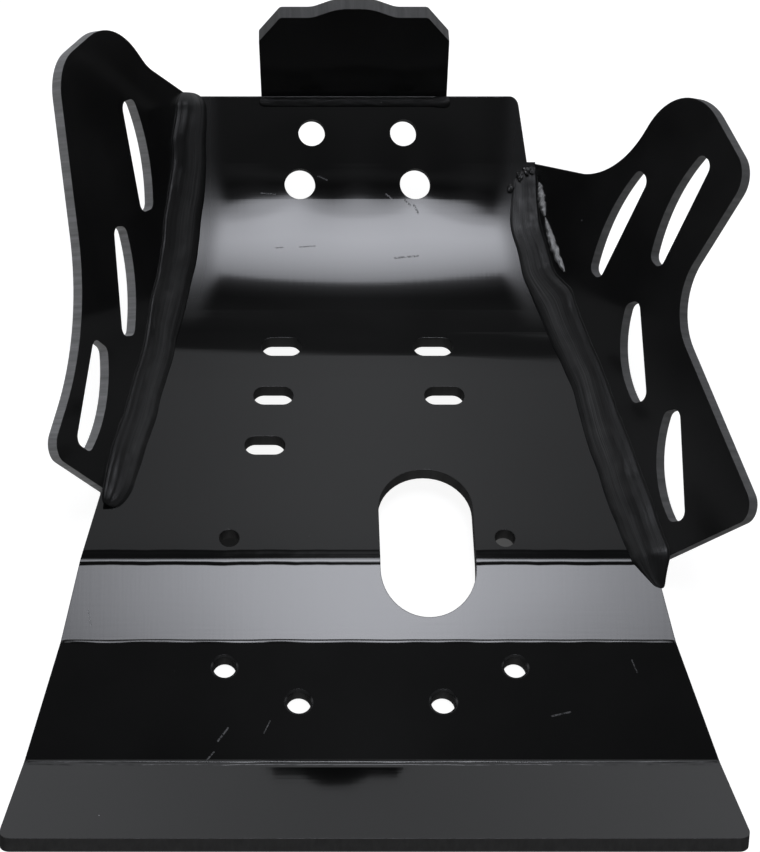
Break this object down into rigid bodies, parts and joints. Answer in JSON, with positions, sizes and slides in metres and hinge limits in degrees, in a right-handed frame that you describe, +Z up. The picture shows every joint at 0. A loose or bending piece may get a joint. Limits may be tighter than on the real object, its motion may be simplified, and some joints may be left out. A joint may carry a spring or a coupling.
{
  "type": "motorcycle skid plate",
  "caption": "Folded black plastic skid plate for the underside of an off-road motorcycle, with welded slotted side wings, a front tab, a drain opening and a raised rear linkage lip.",
  "frame": {"origin": "midway between the two belly bolt holes, on the belly's inner (top) face", "axes": "+X to the bike's right, +Y forward along the bike, +Z up out of the belly's inner face"},
  "size_m": [0.3485, 0.4221, 0.157],
  "materials": {
    "sheet": "satin black polyethylene sheet",
    "weld": "extruded black polyethylene weld"
  },
  "bodies": {
    "root": {"main_plate": "sheet", "left_wing": "sheet", "right_wing": "sheet", "front_tab": "sheet", "left_weld_bead": "weld", "right_weld_bead": "weld", "tab_weld_bead": "weld"}
  },
  "joints": []
}
